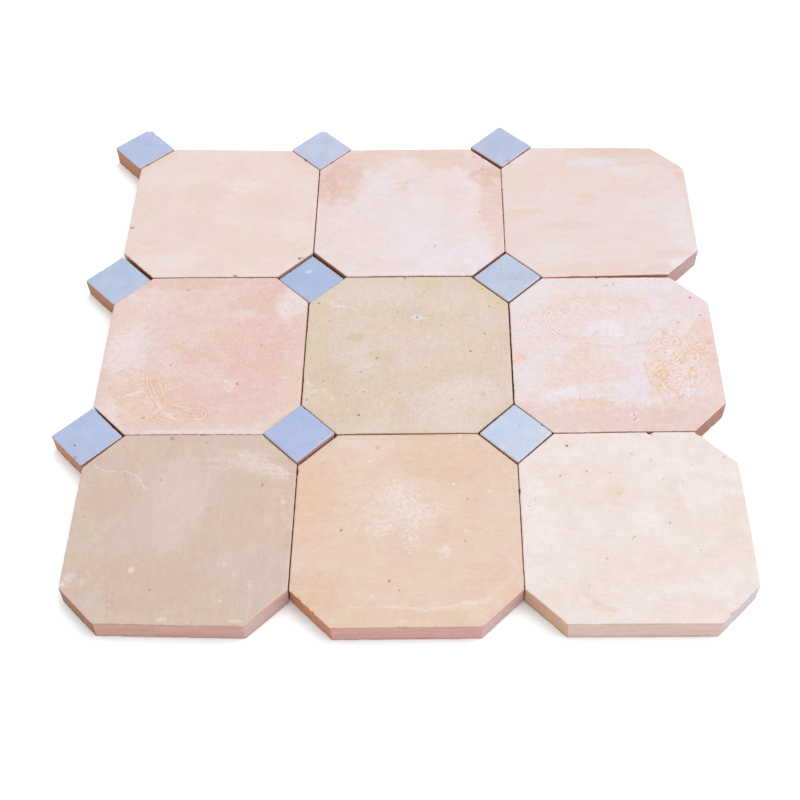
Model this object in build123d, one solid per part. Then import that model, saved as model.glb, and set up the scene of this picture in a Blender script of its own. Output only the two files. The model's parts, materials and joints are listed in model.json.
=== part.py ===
"""A sheet of hand-cut terracotta octagons with small blue-glazed square inserts, laid dry, edge to edge.

Nine octagons stand three by three. Each has one square insert, turned on its point, in the notch at its
back left corner, so that the next sheet's inserts fill the notches that stay open at the right and front.
Every piece is cut and rubbed by hand, so each one has its own small departures from the nominal size.

Millimetres. +Z is up, +X to the right, +Y to the back. The origin is the middle of the centre octagon's
underside, which is also the middle of the three by three grid.
"""

import math
import os

from build123d import *

# Driving dimensions.
PITCH = 100.0  # from one octagon's middle to the next, both ways
OCTAGON_HALF = 49.7  # middle of an octagon's face to a long side
OCTAGON_CUT = 58.2  # middle of an octagon's face to a short, cut side
INSERT_SIDE = 24.0  # side of an insert's glazed face
THICKNESS = 11.0  # nominal, from the bedding face to the crown of the face
BACK_BEVEL = 0.4  # degrees that a side leans in towards the bed, so that faces meet first
CROWN_RADIUS = 4200.0  # the faces are rubbed very slightly round
CORNER_RADIUS = 0.7  # rubbed upright corners, where no corner is worn rounder
ARRIS_RADIUS = 0.45  # rubbed edge of the face
BED_CHAMFER = 0.2  # crumbled edge of the bed
FACE_ALLOWANCE = 1.0  # clay that is cut off a blank when its face is rubbed round

# How far each octagon's eight sides stand out from nominal, anticlockwise from the right-hand side, and the
# degrees that a side is turned. Then its thickness over nominal, how far the foot of a side that was cut out
# of square stands out past its bevel, how much higher its right end stands than its left, and the radius of
# each corner that is worn round, by the side that the corner follows.
RIGHT, BACK_RIGHT, BACK, BACK_LEFT, LEFT, FRONT_LEFT, FRONT, FRONT_RIGHT = range(8)
OCTAGONS = {
    "back_left": {
        "place": (-1, 1),
        "stands_out": (-0.1, -0.2, 0.1, 0.9, 0.2, -0.8, -0.8, -0.8),
        "turned": {BACK: -1.8, BACK_LEFT: -3.0},
        "thicker": 0.1,
    },
    "back_centre": {
        "place": (0, 1),
        "stands_out": (-0.2, -0.9, -1.1, -0.2, 0.4, -0.6, -0.7, -0.9),
        "turned": {},
        "thicker": 0.3,
    },
    "back_right": {
        "place": (1, 1),
        "stands_out": (-0.2, -0.6, -1.0, -0.1, 0.6, 0.1, 0.0, -1.0),
        "turned": {FRONT: 1.6, BACK: -0.5},
        "thicker": 0.3,
        "foot_out": {FRONT_RIGHT: 0.5},
        "right_rises": 0.5,
        "worn": {RIGHT: 9.0},
    },
    "middle_left": {
        "place": (-1, 0),
        "stands_out": (-0.7, 0.1, 1.1, 0.4, 0.2, 0.2, 0.2, -0.1),
        "turned": {},
        "thicker": 0.0,
    },
    "centre": {
        "place": (0, 0),
        "stands_out": (0.1, -0.3, 1.0, 0.7, 0.9, 0.6, -0.1, -0.4),
        "turned": {FRONT: 0.5},
        "thicker": 0.0,
    },
    "middle_right": {
        "place": (1, 0),
        "stands_out": (0.2, -0.4, -0.3, -0.4, 0.0, -0.2, -0.6, -0.3),
        "turned": {FRONT: 0.6},
        "thicker": 0.0,
        "foot_out": {FRONT_RIGHT: 0.4},
        "worn": {RIGHT: 3.0},
    },
    "front_left": {
        "place": (-1, -1),
        "stands_out": (-0.2, 0.0, 0.1, -0.8, -0.5, -0.7, 0.0, 0.1),
        "turned": {FRONT: -1.1, BACK_LEFT: 2.0},
        "thicker": 0.2,
        "foot_out": {LEFT: 0.5, FRONT_LEFT: 0.4, FRONT: 0.3},
        "worn": {LEFT: 2.0, FRONT_LEFT: 2.5},
    },
    "front_centre": {
        "place": (0, -1),
        "stands_out": (0.6, 0.4, 0.4, 0.1, 0.5, 0.4, 0.8, 0.2),
        "turned": {BACK: 0.5, FRONT: 0.7},
        "thicker": -0.3,
        "foot_out": {FRONT: 0.4},
    },
    "front_right": {
        "place": (1, -1),
        "stands_out": (0.7, 0.9, 0.7, 0.0, -0.2, -0.3, -0.7, -0.9),
        "turned": {BACK: 0.6, FRONT: 0.4},
        "thicker": 0.2,
        "foot_out": {FRONT: 0.7},
    },
}

# Each insert's notch, how far it lies from the notch's middle, its turn in degrees past 45, how much wider it
# is along its two sides, and its thickness over nominal: some sit low in their notch and one stands proud.
INSERTS = {
    "back_left": {"off": (0.2, 1.0), "turn": -2.5, "wider": (-0.2, 0.0), "thicker": 0.1},
    "back_centre": {"off": (0.0, -0.9), "turn": 0.0, "wider": (0.0, -0.2), "thicker": 0.1},
    "back_right": {"off": (0.2, 0.3), "turn": 0.5, "wider": (0.2, 0.2), "thicker": 0.0},
    "middle_left": {"off": (-0.2, -0.3), "turn": 0.0, "wider": (0.0, 0.0), "thicker": -0.6},
    "middle_centre": {"off": (-0.5, 0.4), "turn": 0.5, "wider": (-0.3, -0.1), "thicker": -1.3},
    "middle_right": {"off": (0.0, -0.1), "turn": 0.0, "wider": (0.6, 0.4), "thicker": -0.1},
    "front_left": {"off": (-0.2, -0.6), "turn": -0.5, "wider": (0.0, 0.0), "thicker": -0.5},
    "front_centre": {"off": (-0.7, -0.1), "turn": 0.0, "wider": (-0.2, -0.2), "thicker": 0.8},
    "front_right": {"off": (0.2, 0.2), "turn": 0.5, "wider": (0.1, 0.1), "thicker": 0.0},
}
COLUMN = {"left": -1, "centre": 0, "right": 1}
ROW = {"back": 1, "middle": 0, "front": -1}


def octagon_outline(stands_out, turned):
    """The corners of an octagon whose sides are eight lines, each at its own distance from the middle."""
    sides = []
    for side, extra in enumerate(stands_out):
        nominal = OCTAGON_CUT if side % 2 else OCTAGON_HALF
        angle = math.radians(45 * side + turned.get(side, 0.0))
        sides.append((math.cos(angle), math.sin(angle), nominal + extra))
    corners = []
    for side in range(8):
        ax, ay, a_out = sides[side]
        bx, by, b_out = sides[(side + 1) % 8]
        cross = ax * by - ay * bx
        corners.append(((a_out * by - b_out * ay) / cross, (ax * b_out - bx * a_out) / cross))
    return corners


def insert_outline(wider, inset):
    """The corners of a square insert before it is turned on its point, each side set in by the inset."""
    half_x = (INSERT_SIDE + wider[0]) / 2 - inset
    half_y = (INSERT_SIDE + wider[1]) / 2 - inset
    return [(half_x, half_y), (-half_x, half_y), (-half_x, -half_y), (half_x, -half_y)]


def upright_edge(solid, corner):
    """The upright edge of a blank that stands nearest to this corner of its outline."""
    uprights = solid.edges().filter_by(lambda edge: abs(edge.tangent_at(0.5).Z) > 0.5)
    return min(uprights, key=lambda edge: math.dist((edge.center().X, edge.center().Y), corner))


def bevel_run(thickness):
    """How far the bevel sets the foot of a side in."""
    return thickness * math.tan(math.radians(BACK_BEVEL))


def hand_cut(face, bed, thickness, right_rises=0.0, worn=None):
    """One piece between the outlines of its face and its bed, with a crowned face and rubbed edges."""
    blank_top = thickness + FACE_ALLOWANCE
    blank = loft([Polygon(*bed, align=None), Pos(0, 0, blank_top) * Polygon(*face, align=None)], ruled=True)
    for number, corner in enumerate(face):
        radius = (worn or {}).get(number, CORNER_RADIUS)
        blank = fillet(upright_edge(blank, corner), radius)
    # The ball that rounds the face stands off to one side where the face tips, and the bed stays level.
    tip = -CROWN_RADIUS * right_rises / PITCH
    drop = math.sqrt(CROWN_RADIUS**2 - tip**2)
    piece = blank & Pos(tip, 0, thickness - drop) * Sphere(CROWN_RADIUS)
    piece = fillet(piece.faces().sort_by(Axis.Z)[-1].edges(), ARRIS_RADIUS)
    return chamfer(piece.faces().sort_by(Axis.Z)[0].edges(), BED_CHAMFER)


def octagon(place, stands_out, turned, thicker, foot_out=None, right_rises=0.0, worn=None):
    column, row = place
    thickness = THICKNESS + thicker
    face = octagon_outline(stands_out, turned)
    feet = [out + (foot_out or {}).get(side, 0.0) - bevel_run(thickness) for side, out in enumerate(stands_out)]
    piece = hand_cut(face, octagon_outline(feet, turned), thickness, right_rises, worn)
    return Pos(column * PITCH, row * PITCH, 0) * piece


def insert(name, off, turn, wider, thicker):
    """A glazed square in the notch at the back left of the octagon that stands at the same place."""
    row_name, column_name = name.split("_")
    notch_x = (COLUMN[column_name] - 0.5) * PITCH
    notch_y = (ROW[row_name] + 0.5) * PITCH
    thickness = THICKNESS + thicker
    piece = hand_cut(insert_outline(wider, 0.0), insert_outline(wider, bevel_run(thickness)), thickness)
    return Pos(notch_x + off[0], notch_y + off[1], 0) * Rot(0, 0, 45 + turn) * piece


os.makedirs("parts", exist_ok=True)
for name, sizes in OCTAGONS.items():
    export_step(octagon(**sizes), f"parts/octagon_{name}.step")
for name, sizes in INSERTS.items():
    export_step(insert(name, **sizes), f"parts/insert_{name}.step")
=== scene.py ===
# %% [markdown]
# # Hand-cut octagon tiles with blue glazed inserts
# Nine terracotta octagons lie edge to edge, with a small glazed square in the notch at the back left of
# each. The packed CAD model is the fixed frame: it says where each piece is and how large. This script
# gives every piece its hand-made edges, its fired colours and its glaze, in metres and in the same place.

# %% Load the frame
import json
import math

import bpy
import numpy as np
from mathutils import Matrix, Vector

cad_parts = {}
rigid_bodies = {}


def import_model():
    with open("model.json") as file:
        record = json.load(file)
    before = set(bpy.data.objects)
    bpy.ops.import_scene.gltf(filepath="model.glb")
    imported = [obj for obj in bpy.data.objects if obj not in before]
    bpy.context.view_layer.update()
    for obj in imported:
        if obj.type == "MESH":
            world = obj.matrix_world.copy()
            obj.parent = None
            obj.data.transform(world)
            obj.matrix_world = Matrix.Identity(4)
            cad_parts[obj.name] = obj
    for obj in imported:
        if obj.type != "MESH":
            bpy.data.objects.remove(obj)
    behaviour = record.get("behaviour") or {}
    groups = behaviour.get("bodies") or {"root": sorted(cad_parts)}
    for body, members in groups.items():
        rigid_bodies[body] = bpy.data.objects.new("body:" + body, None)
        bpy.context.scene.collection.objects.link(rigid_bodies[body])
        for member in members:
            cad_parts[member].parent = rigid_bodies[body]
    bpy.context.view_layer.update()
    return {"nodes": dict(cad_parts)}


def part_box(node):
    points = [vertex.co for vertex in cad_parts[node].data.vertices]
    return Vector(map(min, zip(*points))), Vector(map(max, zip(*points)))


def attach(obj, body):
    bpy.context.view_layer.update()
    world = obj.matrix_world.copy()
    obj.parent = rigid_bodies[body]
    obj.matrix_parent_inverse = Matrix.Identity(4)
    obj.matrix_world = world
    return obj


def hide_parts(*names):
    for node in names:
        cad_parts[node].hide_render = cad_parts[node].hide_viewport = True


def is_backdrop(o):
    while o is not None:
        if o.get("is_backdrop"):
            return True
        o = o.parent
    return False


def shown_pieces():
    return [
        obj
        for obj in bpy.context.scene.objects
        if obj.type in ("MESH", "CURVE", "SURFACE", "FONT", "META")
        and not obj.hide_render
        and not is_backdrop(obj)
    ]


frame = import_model()
print("nodes in the frame:", len(frame["nodes"]))

# %% [markdown]
# ## Camera
# The tiles are looked down on from the front, a little right of the middle. The camera was worked out from
# the corners of the octagons, so its place and lens are numbers. A camera can also be placed by eye, but
# joints as fine as these only line up when it stands where the photographer's did.

# %% Camera
CAMERA_PLACE = (0.01154, -0.41258, 0.49490)
CAMERA_TURN = (38.3207, 1.2577, 0.7205)
SENSOR_WIDTH = 36.0
FOCAL_IN_SENSOR_WIDTHS = 1.62665

camera_data = bpy.data.cameras.new("camera")
camera_data.sensor_width = SENSOR_WIDTH
camera_data.lens = FOCAL_IN_SENSOR_WIDTHS * SENSOR_WIDTH
camera_data.clip_start = 0.01
camera_data.clip_end = 20
camera = bpy.data.objects.new("camera", camera_data)
camera.location = CAMERA_PLACE
camera.rotation_euler = [math.radians(angle) for angle in CAMERA_TURN]
bpy.context.scene.collection.objects.link(camera)
bpy.context.scene.camera = camera
bpy.context.scene.view_settings.view_transform = "Standard"
print("lens in mm:", round(camera_data.lens, 2))

# %% [markdown]
# ## Selecting
# Blender's operators work on whatever is selected, and the frame arrives selected. So each step first
# clears the selection and picks one piece, or some of its points, in code.

# %% Helpers that select
def only(piece):
    """Leaves object mode with this piece alone selected."""
    if bpy.context.object and bpy.context.object.mode != "OBJECT":
        bpy.ops.object.mode_set(mode="OBJECT")
    bpy.ops.object.select_all(action="DESELECT")
    piece.select_set(True)
    bpy.context.view_layer.objects.active = piece


def points_of(piece):
    """The places and the normals of a mesh's points, one row each."""
    mesh = piece.data
    places = np.zeros(3 * len(mesh.vertices), np.float32)
    normals = np.zeros(3 * len(mesh.vertices), np.float32)
    mesh.vertices.foreach_get("co", places)
    mesh.vertex_normals.foreach_get("vector", normals)
    return places.reshape(-1, 3), normals.reshape(-1, 3)


def select_points(piece, chosen):
    """Goes into edit mode with only the chosen points selected."""
    only(piece)
    mesh = piece.data
    mesh.polygons.foreach_set("select", np.zeros(len(mesh.polygons), bool))
    mesh.edges.foreach_set("select", np.zeros(len(mesh.edges), bool))
    mesh.vertices.foreach_set("select", chosen)
    bpy.ops.object.mode_set(mode="EDIT")
    bpy.ops.mesh.select_mode(type="VERT")


only(frame["nodes"]["octagon_centre"])
print("selected:", bpy.context.object.name)

# %% [markdown]
# ## Floor and light
# The tiles lie on a pale floor under soft light, so the only shadows are thin ones along their sides. A sky
# that is bright all round fills the joints. One wide lamp above and to the right makes the sides that face
# left darker than those that face right, and the side finishes add more of that shade as painted shade. Area
# lamps would do as well, but a sun lamp lights all the tiles alike.

# %% Floor and light
FLOOR_SIZE = 6.0
FLOOR_DROP = 0.00002
SKY = 1.15
SKY_TINT = (0.955, 0.995, 1.0, 1.0)
LAMP_FROM = (0.50, 0.28, 1.0)
LAMP_SPREAD = math.radians(50)
LAMP_POWER = 1.70
LAMP_TINT = (1.0, 0.93, 0.915)

bpy.ops.object.select_all(action="DESELECT")
bpy.ops.mesh.primitive_plane_add(size=FLOOR_SIZE, location=(0, 0, -FLOOR_DROP))
floor = bpy.context.object
floor.name = "floor"
floor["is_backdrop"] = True

world = bpy.data.worlds.new("sky")
world.use_nodes = True
background = world.node_tree.nodes["Background"]
background.inputs["Color"].default_value = SKY_TINT
background.inputs["Strength"].default_value = SKY
bpy.context.scene.world = world

lamp_data = bpy.data.lights.new("lamp", "SUN")
lamp_data.angle = LAMP_SPREAD
lamp_data.energy = LAMP_POWER
lamp_data.color = LAMP_TINT
lamp = bpy.data.objects.new("lamp", lamp_data)
lamp.location = LAMP_FROM
lamp.rotation_euler = lamp.location.to_track_quat("Z", "Y").to_euler()
bpy.context.scene.collection.objects.link(lamp)
print("lamp stands at:", [round(side, 2) for side in lamp.location])

# %% [markdown]
# ## Shader sums that read like sums
# A pattern is arithmetic on numbers that change over the surface. Wiring Math nodes by hand hides that, so
# a small class wraps a socket: adding or multiplying two of them makes the node that does it.

# %% Values
class Value:
    """A node's output. Arithmetic on it adds the Math node that does the sum."""

    def __init__(self, finish, socket):
        self.finish = finish
        self.socket = socket

    def math(self, operation, first, second):
        return self.finish.node("ShaderNodeMath", {"operation": operation}, {0: first, 1: second})

    def __add__(self, other):
        return self.math("ADD", self, other)

    def __sub__(self, other):
        return self.math("SUBTRACT", self, other)

    def __mul__(self, other):
        return self.math("MULTIPLY", self, other)

    def __radd__(self, other):
        return self.math("ADD", other, self)

    def __rsub__(self, other):
        return self.math("SUBTRACT", other, self)

    def __rmul__(self, other):
        return self.math("MULTIPLY", other, self)


print("sums that a value can do:", [name for name in vars(Value) if name.startswith("__r")])

# %% [markdown]
# ## A finish
# Each piece was fired at its own spot in the kiln, so each gets its own material, built by the same few
# steps. The class below starts one and adds nodes to it. Its patterns are laid out in millimetres from the
# middle of the piece's own tile, which is how a maker would point at a mark on it.

# %% Finish
MILLIMETRE = (0.001, 0.001, 0.001)


class Finish:
    """A material that is built up node by node, with its patterns in millimetres."""

    def __init__(self, name, middle):
        self.material = bpy.data.materials.new(name)
        self.material.use_nodes = True
        self.tree = self.material.node_tree
        self.surface = self.tree.nodes["Principled BSDF"]
        place = self.node("ShaderNodeTexCoord", output="Object")
        self.place = self.mapping(place, Location=(*middle, 0.0), Scale=MILLIMETRE)
        self.world_place = self.mapping(place, Scale=MILLIMETRE)

    def node(self, kind, settings=None, inputs=None, output=0):
        """Adds one node, with its settings and then a number or a link for each of its sockets."""
        made = self.tree.nodes.new(kind)
        for setting, choice in (settings or {}).items():
            setattr(made, setting, choice)
        for socket, source in (inputs or {}).items():
            if isinstance(source, Value):
                self.tree.links.new(source.socket, made.inputs[socket])
            else:
                made.inputs[socket].default_value = source
        return Value(self, made.outputs[output])

    def feed(self, socket, source):
        """Links a value to one of the surface's own sockets."""
        self.tree.links.new(source.socket, self.surface.inputs[socket])

    def vector(self, operation, first, second=(0.0, 0.0, 0.0), output=0):
        return self.node("ShaderNodeVectorMath", {"operation": operation}, {0: first, 1: second}, output)

    def mapping(self, place, **sockets):
        """A place as it reads from a middle, a turn and a scale of its own."""
        return self.node("ShaderNodeMapping", {"vector_type": "TEXTURE"}, {"Vector": place, **sockets})

    def noise(self, size, detail=3.0, roughness=0.55, place=None, output=0):
        """Cloudy noise whose lumps are about this many millimetres across."""
        sockets = {"Scale": 1.0 / size, "Detail": detail, "Roughness": roughness}
        sockets["Vector"] = place or self.world_place
        return self.node("ShaderNodeTexNoise", None, sockets, output)

    def ramp(self, value, start, end, low=0.0, high=1.0):
        """Goes smoothly from low to high as the value goes from start to end."""
        sockets = {"Value": value, "From Min": start, "From Max": end, "To Min": low, "To Max": high}
        return self.node("ShaderNodeMapRange", {"interpolation_type": "SMOOTHSTEP"}, sockets)

    def mix(self, share, first, second):
        """A colour between the first and the second."""
        return self.node("ShaderNodeMix", {"data_type": "RGBA"}, {0: share, 6: first, 7: second}, output=2)

    def over(self, colour, pattern, start, end, strength, tint):
        """Lays a tint over a colour, none where the pattern is at start and to this strength at end."""
        return self.mix(self.ramp(pattern, start, end, 0.0, strength), colour, tint)

    def lifted(self, colour, red, green, blue):
        """The same colour made paler by a little of each light."""
        return self.vector("ADD", colour, (red, green, blue))

    def dimmed(self, colour, red, green, blue):
        """The same colour with only these shares of its light left."""
        return self.vector("MULTIPLY", colour, (red, green, blue))

    def upwards(self, direction):
        """How far a place or a direction points up."""
        return self.node("ShaderNodeSeparateXYZ", None, {"Vector": direction}, output="Z")

    def bumps(self, relief, strength, depth):
        """Turns a relief into small dents in the shading, this many metres deep."""
        sockets = {"Strength": strength, "Distance": depth, "Height": relief}
        self.feed("Normal", self.node("ShaderNodeBump", None, sockets, output="Normal"))


print("a finish can:", [name for name in vars(Finish) if not name.startswith("_")])

# %% [markdown]
# ## Colours
# Tones are written as they look on the finished tile, from 0 to 255. A surface only shows the share of
# light that it sends back, so a helper turns each tone into that share for the light that reaches a level
# face, or an upright side.

# %% Colours
FACE_LIGHT = 1.62
SIDE_LIGHT = 1.25
FULL_LEVEL = 255


def brightness(level):
    """The light behind a level on the screen, by the screen's own curve. No tone here is near black."""
    return ((level / FULL_LEVEL + 0.055) / 1.055) ** 2.4


def tone(red, green, blue, light=FACE_LIGHT):
    """The share of light that a surface sends back so that it looks like this under that much light."""
    return (brightness(red) / light, brightness(green) / light, brightness(blue) / light, 1.0)


print("a peach face sends back:", [round(share, 2) for share in tone(238, 217, 210)[:3]])

# %% [markdown]
# ## Floor finish
# A photographer's white table: plain, pale and a touch blue, which only shows in the thin shadows. The
# light on it is strong enough to turn the rest pure white, so one even tone is all it needs.

# %% Floor finish
FLOOR_TONE = (0.885, 0.91, 0.925, 1.0)
FLOOR_ROUGHNESS = 0.8

floor_finish = Finish("floor", (0.0, 0.0))
floor_finish.surface.inputs["Base Color"].default_value = FLOOR_TONE
floor_finish.surface.inputs["Roughness"].default_value = FLOOR_ROUGHNESS
floor.data.materials.append(floor_finish.material)
print("floor finish:", floor.data.materials[0].name)

# %% [markdown]
# ## Marks on clay
# The slip on a clay face gathers, thins and scorches in patches, and chalk rubs off on its high grain. Each
# patch is a soft oval, frayed by noise, and chalk is an oval that only shows where fine noise is high. Both
# could be painted on an image, but these stay sharp at any distance and need no file.

# %% Patches
OVAL_REACH = 1.6
CALM_FROM = 8.0
FLAT = 1000.0
PATCH_RIM = (0.22, 0.62)
FLECK_SIZE = 1.5
FLECK_STRETCH = (1.7, 1.0, 1.0)
FLECK_EDGE = (0.55, 0.66)


def oval_share(finish, x, y, half_width, half_depth, turn):
    """Falls from one in the middle of an oval to zero at its rim."""
    oval = finish.mapping(
        finish.place,
        Location=(x, y, 0.0),
        Rotation=(0.0, 0.0, math.radians(turn)),
        Scale=(half_width * OVAL_REACH, half_depth * OVAL_REACH, FLAT),
    )
    return finish.node("ShaderNodeTexGradient", {"gradient_type": "SPHERICAL"}, {"Vector": oval}, output=1)


def patches(finish, colour, fray, marks):
    """Lays oval patches over a colour: x, y, half width, half depth, turn in degrees, tone and strength."""
    for x, y, half_width, half_depth, turn, tint, strength in marks:
        middle = oval_share(finish, x, y, half_width, half_depth, turn)
        calm = min(1.0, CALM_FROM / min(half_width, half_depth))
        colour = finish.over(colour, middle + fray * calm, *PATCH_RIM, strength, tone(*tint))
    return colour


def scuffs(finish, colour, marks):
    """Rubs flecks of chalk over a colour: x, y, half width, half depth, turn in degrees, tone, strength."""
    for x, y, half_width, half_depth, turn, tint, strength in marks:
        middle = oval_share(finish, x, y, half_width, half_depth, turn)
        along = finish.mapping(
            finish.world_place, Rotation=(0.0, 0.0, math.radians(turn)), Scale=FLECK_STRETCH
        )
        flecks = finish.noise(FLECK_SIZE, detail=5.0, roughness=0.8, place=along)
        share = finish.ramp(flecks + middle * 0.12, *FLECK_EDGE, 0.0, strength)
        colour = finish.mix(share * finish.ramp(middle, 0.02, 0.35), colour, tone(*tint))
    return colour


print("a patch reaches past its oval by a factor of", OVAL_REACH)

# %% [markdown]
# ## Veins
# Where slip ran and dried, it left veins. A vein follows a few points, and the distance to it gives its
# width. A curve on the face could do it too, but a vein has no height, only colour. The places are bent by
# a little noise first, so that the veins look drawn by water.

# %% Veins
def distance_to_stroke(finish, place, points):
    """How many millimetres away the nearest part of a chain of straight strokes is."""
    nearest = None
    for (x1, y1), (x2, y2) in zip(points, points[1:]):
        half_length = math.hypot(x2 - x1, y2 - y1) / 2
        along = finish.mapping(
            place,
            Location=((x1 + x2) / 2, (y1 + y2) / 2, 0.0),
            Rotation=(0.0, 0.0, math.atan2(y2 - y1, x2 - x1)),
        )
        beside = finish.vector("ABSOLUTE", along)
        beyond = finish.vector("MAXIMUM", finish.vector("SUBTRACT", beside, (half_length, 0.0, FLAT)))
        distance = finish.vector("LENGTH", beyond, output="Value")
        nearest = distance if nearest is None else nearest.math("MINIMUM", nearest, distance)
    return nearest


def strokes(finish, colour, place, fray, marks):
    """Draws veins that come and go over a colour: half width, tone, strength and the points on their way."""
    come_and_go = finish.ramp(finish.noise(5.0, detail=2.0), 0.36, 0.56, 0.35, 1.0)
    for half_width, tint, strength, points in marks:
        distance = distance_to_stroke(finish, place, points)
        share = finish.ramp(distance + fray * half_width, half_width * 1.3, half_width * 0.2, 0.0, strength)
        colour = finish.mix(share * come_and_go, colour, tone(*tint))
    return colour


print("veins are drawn by:", strokes.__name__)

# %% [markdown]
# ## Fine lines
# The lines beside a vein lie like contour lines on a map, and in some places they wander as a maze. Both
# come from a height that is cut in even steps: the height is the distance to a stroke for a band, and noise
# for a maze. Drawing each line by its points would give the same look for far more work.

# %% Fine lines
LINE_EDGE = (0.21, 0.05)
LINE_STRENGTH = 0.85
GAP_EDGE = (0.30, 0.44)
GAP_STRENGTH = 0.80
GAP_LIFT = (0.026, 0.044, 0.052)


def fine_lines(finish, colour, heights, inside, tint, strength):
    """Draws a thin broken line each time that the heights pass a whole number, and a pale one halfway."""
    step = heights.math("PINGPONG", heights, 0.5)
    inside = inside * finish.ramp(finish.noise(6.0, detail=2.0), 0.38, 0.56, 0.35, 1.0)
    line = finish.ramp(step, *LINE_EDGE, 0.0, strength * LINE_STRENGTH)
    pale = finish.ramp(step, *GAP_EDGE, 0.0, strength * GAP_STRENGTH)
    colour = finish.mix(line * inside, colour, tone(*tint))
    return finish.mix(pale * inside, colour, finish.lifted(colour, *GAP_LIFT))


def bands(finish, colour, place, marks):
    """Lays lines side by side along a stroke: reach, spacing, tone, strength and the stroke's points."""
    for reach, spacing, tint, strength, points in marks:
        distance = distance_to_stroke(finish, place, points)
        inside = finish.ramp(distance, reach, reach * 0.5)
        colour = fine_lines(finish, colour, distance * (1 / spacing), inside, tint, strength)
    return colour


def rings(finish, colour, place, marks):
    """Fills an oval with a maze: x, y, half sizes, turn, size of its bends, line count, tone, strength."""
    for x, y, half_width, half_depth, turn, bend, count, tint, strength in marks:
        inside = finish.ramp(oval_share(finish, x, y, half_width, half_depth, turn), 0.24, 0.56)
        heights = finish.noise(bend, detail=2.0, roughness=0.5, place=place) * count
        colour = fine_lines(finish, colour, heights, inside, tint, strength)
    return colour


print("lines are drawn by:", bands.__name__, "and", rings.__name__)

# %% [markdown]
# ## Pits
# A pit is a small hollow where a grit has fallen out. In the finish it is a dot of its own tone that also
# lowers the surface. The dark ones are pressed into the mesh as well, further down, because a hollow
# catches the light as no dot can.

# %% Pits
def pits(finish, colour, fray, marks):
    """Dots a colour with pits: x, y, half width and tone. Also gives how deep a place is, from 0 to 1."""
    depth = None
    for x, y, half_width, tint in marks:
        flat_place = finish.vector("MULTIPLY", finish.place, (1.0, 1.0, 0.0))
        distance = finish.vector("DISTANCE", flat_place, (x, y, 0.0), output="Value")
        share = finish.ramp(distance + fray * half_width, half_width * 1.25, half_width * 0.3)
        colour = finish.mix(share, colour, tone(*tint))
        depth = share if depth is None else depth.math("MAXIMUM", depth, share)
    return colour, depth


print("pits are dotted by:", pits.__name__)

# %% [markdown]
# ## Cut sides
# The sides are bare cut clay, redder than the face. Their tone also changes with the way each side faces,
# and that part is painted light and shade: each tile lists a tone for its front, left and right sides, and
# the sides that face left are painted darker. The slab was pressed in layers, which show as thin streaks,
# with a darker line under the rim of the face, and painted shade darkens each side where it meets the bed. A
# material for each side would need a seam at each corner, so one colour blends from side to side instead.

# %% Cut sides
LEFT_CUT = (-0.707, -0.707, 0.0)
RIGHT_CUT = (0.707, -0.707, 0.0)
LAYER_STRETCH = (0.09, 0.09, 1.0)


def side_colour_with_painted_light(finish, sides, top):
    """The colour of cut clay with painted light and shade by the way it faces, the surface's normal and the
    layers, for a piece whose face stands at top.
    """
    normal = finish.node("ShaderNodeNewGeometry", output="Normal")
    # Painted light and shade: the front, left and right tones are the cut clay as each side looks under the
    # lamp, so a side that faces left is painted darker. The front tone also colours the walls inside the
    # joints and was set lighter for them.
    plain, left, right = (tone(*sides[key], SIDE_LIGHT) for key in ("front", "left", "right"))
    colour = plain
    for direction, tint in ((LEFT_CUT, left), (RIGHT_CUT, right)):
        faces_it = finish.vector("DOT_PRODUCT", normal, direction, output="Value")
        colour = finish.over(colour, faces_it, 0.78, 0.93, 1.0, tint)
    stretched = finish.vector("MULTIPLY", finish.world_place, LAYER_STRETCH)
    layers = finish.noise(1.3, detail=4.0, roughness=0.6, place=stretched)
    colour = finish.over(colour, layers, 0.50, 0.32, 0.6, finish.lifted(colour, 0.050, 0.038, 0.030))
    colour = finish.over(colour, layers, 0.50, 0.70, 0.8, finish.dimmed(colour, 0.86, 0.77, 0.74))
    height = finish.upwards(finish.world_place) + layers * 1.2 - 0.6
    under_rim = (top - 1.8, top - 0.9)
    colour = finish.over(colour, height, *under_rim, 0.7, finish.dimmed(colour, 0.93, 0.82, 0.78))
    crumbs = finish.noise(1.3, detail=3.0, roughness=0.7)
    colour = finish.over(colour, crumbs, 0.61, 0.69, 0.5, finish.dimmed(colour, 0.68, 0.55, 0.50))
    # Painted shade: the side darkens towards the bed, like the shadow where a tile meets the floor.
    colour = finish.over(colour, height, 1.4, 0.4, 0.6, finish.dimmed(colour, 0.72, 0.58, 0.52))
    return colour, normal, layers


print("cut sides are toned for a light of", SIDE_LIGHT)

# %% [markdown]
# ## Clay without marks
# Bare clay is never one tone. It is warmer and cooler in clouds a few centimetres wide, mottled in spots of
# a few millimetres, rubbed in short strokes by the stone, and grained. One noise with much detail would give
# all sizes at once, but each size has a tone and a strength of its own.

# %% Clay without marks
RUBBED_SIDEWAYS = (0.20, 1.0, 1.0)
RUBBED_BACKWARDS = (1.0, 0.20, 1.0)


def bare_face(finish, marks):
    """The body colour, warmer and cooler in broad clouds, with wipes where a tile has them."""
    body, warm, cool = (tone(*marks[key]) for key in ("body", "warm", "cool"))
    clouds = finish.noise(26.0, detail=3.0, roughness=0.5)
    colour = finish.over(body, clouds, 0.50, 0.66, 0.8, warm)
    colour = finish.over(colour, clouds, 0.50, 0.34, 0.8, cool)
    if "streaks" in marks:
        stretch, tint = marks["streaks"]
        wiped = finish.vector("MULTIPLY", finish.place, stretch)
        wipes = finish.noise(3.4, detail=4.0, roughness=0.6, place=wiped)
        colour = finish.over(colour, wipes, 0.48, 0.70, 0.6, tone(*tint))
    return colour


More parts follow.
